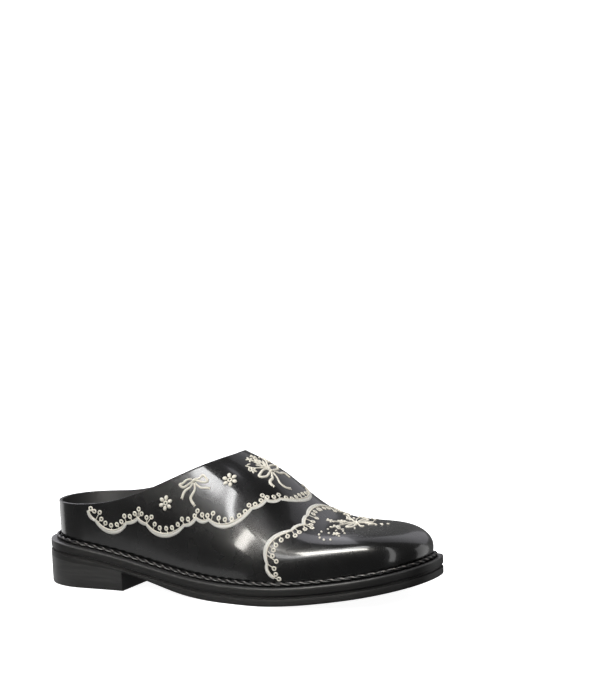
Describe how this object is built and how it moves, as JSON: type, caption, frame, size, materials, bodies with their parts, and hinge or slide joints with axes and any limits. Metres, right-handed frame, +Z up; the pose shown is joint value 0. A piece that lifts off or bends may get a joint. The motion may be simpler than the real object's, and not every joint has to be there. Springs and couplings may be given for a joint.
{
  "type": "mule",
  "caption": "Leather slip-on mule for the right foot, with a square toe, low back, scalloped embroidered edgings, corded welt and low block heel.",
  "frame": {"origin": "middle of the bounding box on the floor, under the waist of the sole", "axes": "+X towards the toe, +Y towards the inner side of the foot, +Z up"},
  "size_m": [0.271, 0.1042, 0.0892],
  "materials": {
    "upper_leather": "polished",
    "ivory_thread": "satin stitch",
    "footbed_leather": "matt",
    "welt_strip": "satin",
    "welt_cord": "waxed",
    "outsole_rubber": "satin",
    "heel_stack": "satin"
  },
  "bodies": {
    "root": {"upper": "upper_leather", "yoke_edging": "ivory_thread", "toe_edging": "ivory_thread", "insole": "footbed_leather", "welt": "welt_strip", "welt_cord": "welt_cord", "outsole": "outsole_rubber", "heel_block": "heel_stack"}
  },
  "joints": []
}
